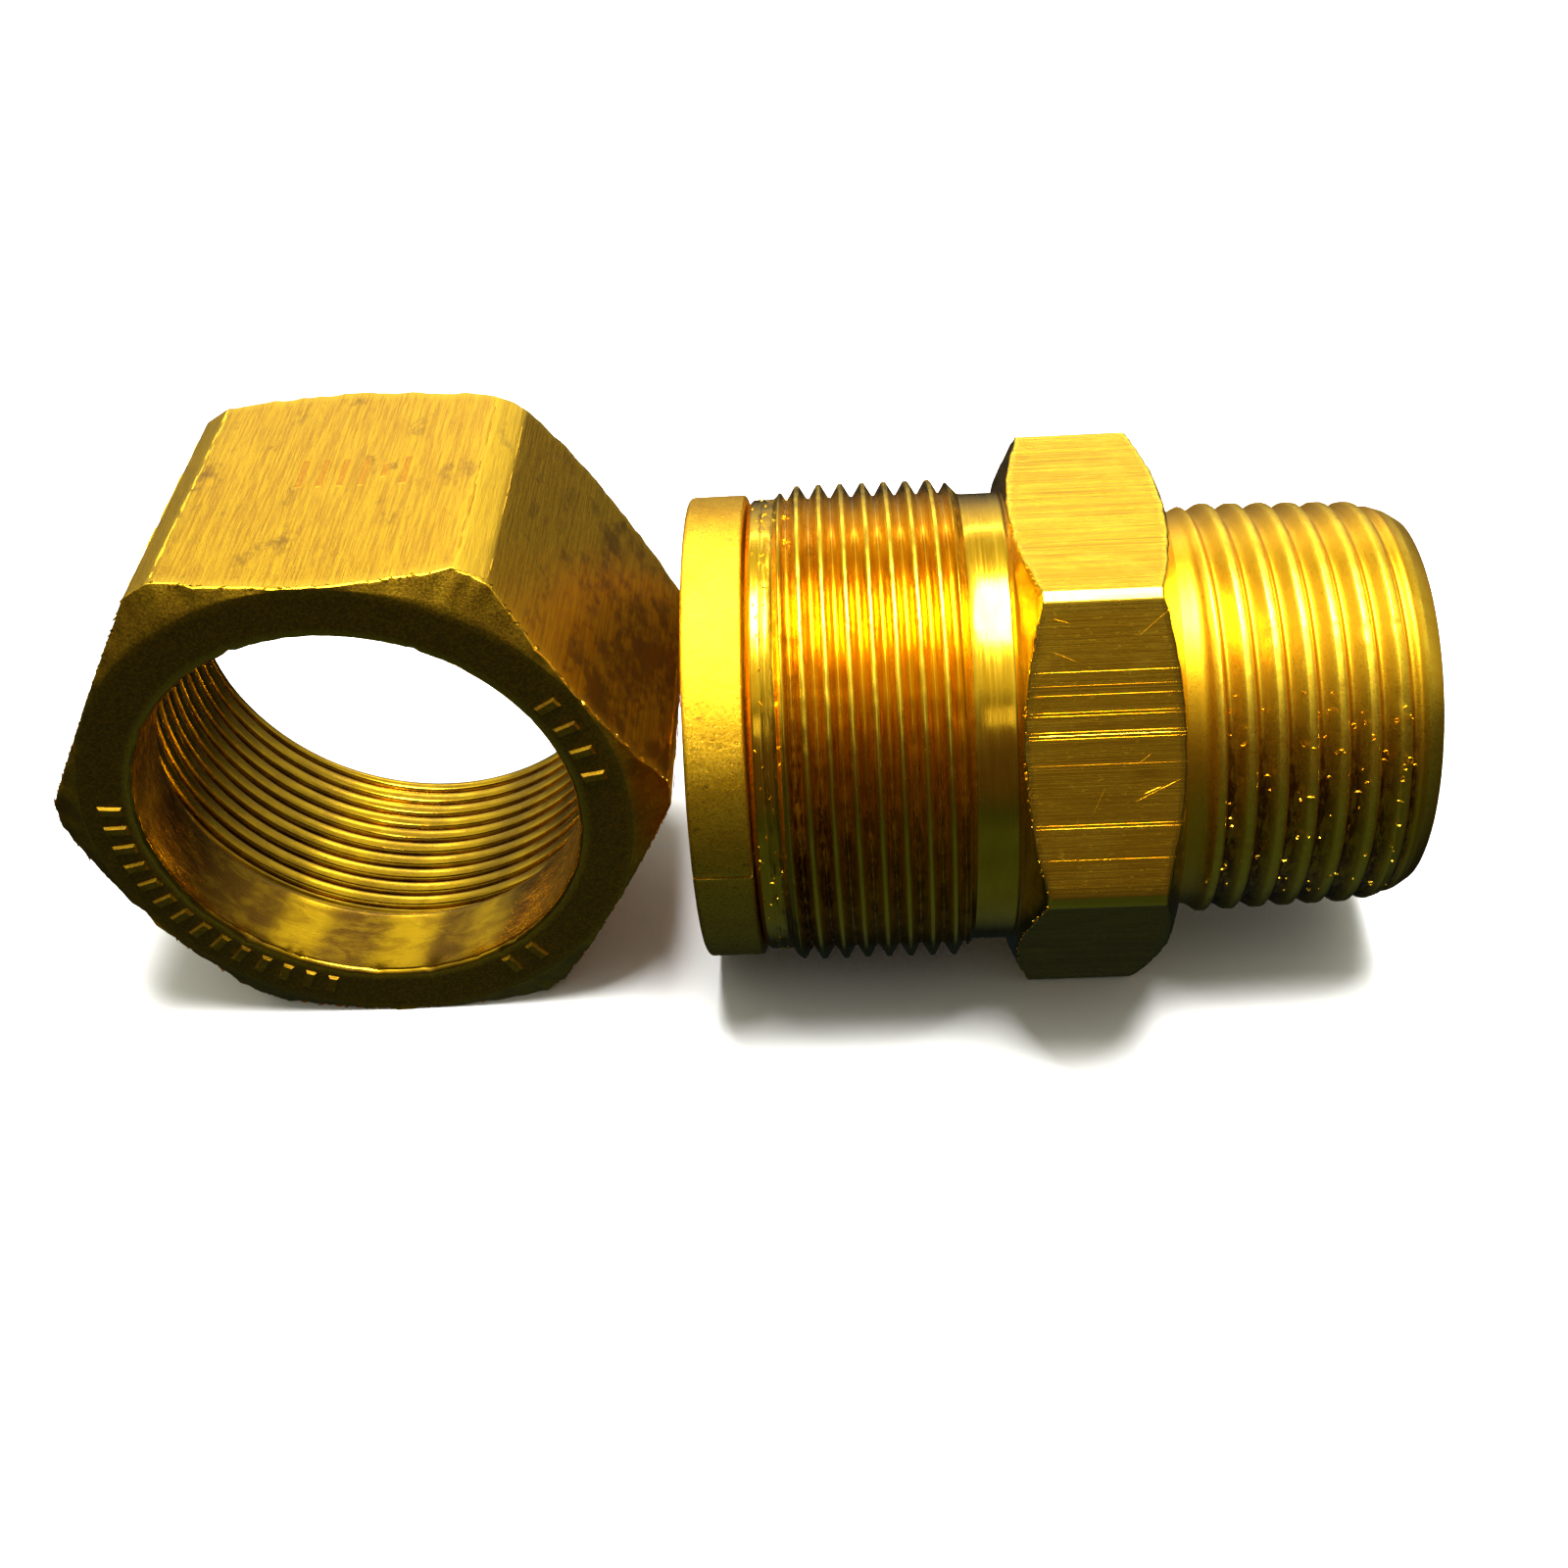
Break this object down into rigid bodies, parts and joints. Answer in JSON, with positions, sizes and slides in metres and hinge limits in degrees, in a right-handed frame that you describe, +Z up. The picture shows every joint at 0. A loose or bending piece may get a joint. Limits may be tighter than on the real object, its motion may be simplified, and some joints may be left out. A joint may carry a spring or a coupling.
{
  "type": "pipe union",
  "caption": "Union for corrugated gas tubing, taken apart: threaded adapter body with taper pipe thread, split bushing in its socket, and hexagon coupling nut beside it.",
  "frame": {"origin": "bottom centre of the whole object's box, on the surface that the adapter and the nut both lie on", "axes": "+X along the adapter's axis towards its pipe thread, +Y from the nut's lipped face towards its threaded mouth, +Z up"},
  "size_m": [0.086, 0.0362, 0.0349],
  "materials": {
    "machined_brass": "turned and drawn bar, bright with oil in the threads",
    "forged_brass": "forged and brushed flats, dull grained face, bright machined bore",
    "cast_brass": "fine cast grain, satin"
  },
  "bodies": {
    "adapter": {"adapter_body": "machined_brass"},
    "bushing_upper": {"bushing_half_upper": "cast_brass"},
    "bushing_lower": {"bushing_half_lower": "cast_brass"},
    "nut": {"coupling_nut": "forged_brass"}
  },
  "joints": [
    {"name": "bushing_upper_slide", "type": "slide", "parent": "adapter", "child": "bushing_upper", "axis": [-1, 0, 0], "range_m": [0, 0.012]},
    {"name": "bushing_lower_slide", "type": "slide", "parent": "adapter", "child": "bushing_lower", "axis": [-1, 0, 0], "range_m": [0, 0.012]},
    {"name": "nut_spin", "type": "hinge", "parent": "bushing_upper", "child": "nut", "pos_m": [-0.02341, 0, 0.01746], "axis": [0, 1, 0], "continuous": true}
  ],
  "couplings": [
    {"joint": "bushing_lower_slide", "follows": "bushing_upper_slide", "ratio": 1}
  ]
}
